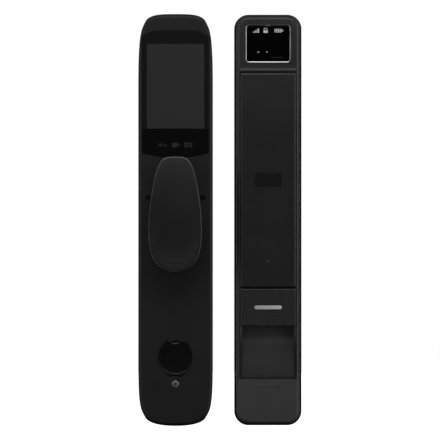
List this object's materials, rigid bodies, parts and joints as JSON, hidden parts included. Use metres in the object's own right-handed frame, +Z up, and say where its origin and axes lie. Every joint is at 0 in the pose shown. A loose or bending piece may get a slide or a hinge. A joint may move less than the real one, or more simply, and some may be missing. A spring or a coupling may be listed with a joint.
{
  "type": "keypad smart lock",
  "caption": "Push-pull smart door lock: outdoor unit with glass keypad, petal handle and flip key cover, and indoor unit with display window, pull flap and battery cover, side by side.",
  "frame": {"origin": "centre of the outdoor unit's back plate, on the plane both units are screwed to", "axes": "+Y out of the back faces into the door, -Y towards the person, +Z up along both units, +X from the outdoor to the indoor unit"},
  "size_m": [0.1706, 0.059, 0.43],
  "materials": {
    "black_coating": "matte black powder coating",
    "handle_coating": "satin black coating",
    "gloss_black": "polished black",
    "dark_glass": "dark tempered glass",
    "unlit_display": "unlit display and touch film",
    "bright_trim": "satin bright trim",
    "black_plastic": "fine textured moulding",
    "gasket_rubber": "matte",
    "zinc_plated_steel": "zinc plated",
    "spring_steel": "drawn wire",
    "brass": "turned",
    "circuit_board": "green solder mask",
    "cell_sleeve": "plain shrink sleeve",
    "lamp_lens": "smoked lens"
  },
  "bodies": {
    "root": {"outdoor_housing": "black_coating", "outdoor_back_plate": "zinc_plated_steel", "outdoor_gasket": "gasket_rubber", "outdoor_screw_1": "zinc_plated_steel", "outdoor_screw_2": "zinc_plated_steel", "keypad_glass": "dark_glass", "keypad_display": "unlit_display", "outdoor_board": "circuit_board", "handle_bracket": "zinc_plated_steel", "handle_pin": "zinc_plated_steel", "handle_spring": "spring_steel", "slider_guide": "zinc_plated_steel", "outdoor_hub_bearing": "zinc_plated_steel", "key_cover_seat": "black_plastic", "key_cover_pin": "zinc_plated_steel", "key_cylinder": "brass", "doorbell_ring": "bright_trim", "doorbell_switch": "black_plastic", "speaker": "black_plastic", "emergency_power_port": "zinc_plated_steel", "upper_fixing_boss": "zinc_plated_steel", "lower_fixing_boss": "zinc_plated_steel", "indoor_base": "black_coating", "indoor_body": "black_coating", "indoor_back_plate": "zinc_plated_steel", "indoor_gasket": "gasket_rubber", "indoor_screw_1": "zinc_plated_steel", "indoor_screw_2": "zinc_plated_steel", "window_frame": "bright_trim", "window_glass": "dark_glass", "status_display": "unlit_display", "indoor_board": "circuit_board", "front_panel": "black_coating", "sensor_window": "gloss_black", "status_lamp": "lamp_lens", "finger_scoop": "black_plastic", "flap_pin": "zinc_plated_steel", "flap_spring": "spring_steel", "indoor_hub_bearing": "zinc_plated_steel", "battery_tray": "black_plastic", "battery_cell_1": "cell_sleeve", "battery_cell_2": "cell_sleeve", "battery_cell_3": "cell_sleeve", "battery_cell_4": "cell_sleeve", "lower_contact_plate": "zinc_plated_steel", "upper_contact_plate": "zinc_plated_steel"},
    "handle": {"handle_shell": "handle_coating", "handle_trim": "bright_trim", "handle_back_cover": "black_plastic", "handle_arm": "zinc_plated_steel"},
    "slider": {"drive_slider": "zinc_plated_steel"},
    "outdoor_hub": {"outdoor_spindle_hub": "zinc_plated_steel"},
    "key_cover": {"key_cover": "gloss_black"},
    "plug": {"cylinder_plug": "brass"},
    "doorbell": {"doorbell_button": "bright_trim"},
    "flap": {"pull_flap": "black_coating", "flap_badge": "bright_trim", "flap_lever": "zinc_plated_steel"},
    "indoor_hub": {"indoor_spindle_hub": "zinc_plated_steel"},
    "battery_cover": {"battery_cover": "black_coating"}
  },
  "joints": [
    {"name": "handle_pull", "type": "hinge", "parent": "root", "child": "handle", "pos_m": [0, -0.0205, 0.048], "axis": [-1, 0, 0], "range_deg": [0, 10], "stiffness_Nm_per_rad": 0.6, "springref_deg": -17.19},
    {"name": "drive_slide", "type": "slide", "parent": "root", "child": "slider", "axis": [0, 0, -1], "range_m": [0, 0.0017]},
    {"name": "outdoor_spindle_turn", "type": "hinge", "parent": "root", "child": "outdoor_hub", "pos_m": [0, 0, -0.081], "axis": [0, 1, 0], "range_deg": [0, 28.2]},
    {"name": "key_cover_flip", "type": "hinge", "parent": "root", "child": "key_cover", "pos_m": [0, -0.026, -0.1609], "axis": [1, 0, 0], "range_deg": [0, 90]},
    {"name": "plug_turn", "type": "hinge", "parent": "root", "child": "plug", "pos_m": [0, -0.0229, -0.1348], "axis": [0, -1, 0], "continuous": true},
    {"name": "doorbell_press", "type": "slide", "parent": "root", "child": "doorbell", "axis": [0, 1, 0], "range_m": [0, 0.0008], "stiffness_N_per_m": 150, "springref_m": -0.004},
    {"name": "flap_pull", "type": "hinge", "parent": "root", "child": "flap", "pos_m": [0.0965, -0.0286, -0.0728], "axis": [-1, 0, 0], "range_deg": [0, 14], "stiffness_Nm_per_rad": 0.15, "springref_deg": -17.19},
    {"name": "indoor_spindle_turn", "type": "hinge", "parent": "root", "child": "indoor_hub", "pos_m": [0.0965, 0, -0.081], "axis": [0, 1, 0], "range_deg": [0, 28.2]},
    {"name": "battery_cover_slide", "type": "slide", "parent": "root", "child": "battery_cover", "axis": [0, 0, -1], "range_m": [0, 0.052]}
  ],
  "couplings": [
    {"joint": "drive_slide", "follows": "handle_pull", "m_per_rad": 0.009452},
    {"joint": "outdoor_spindle_turn", "follows": "handle_pull", "ratio": 2.812},
    {"joint": "indoor_spindle_turn", "follows": "flap_pull", "ratio": 2.002}
  ]
}
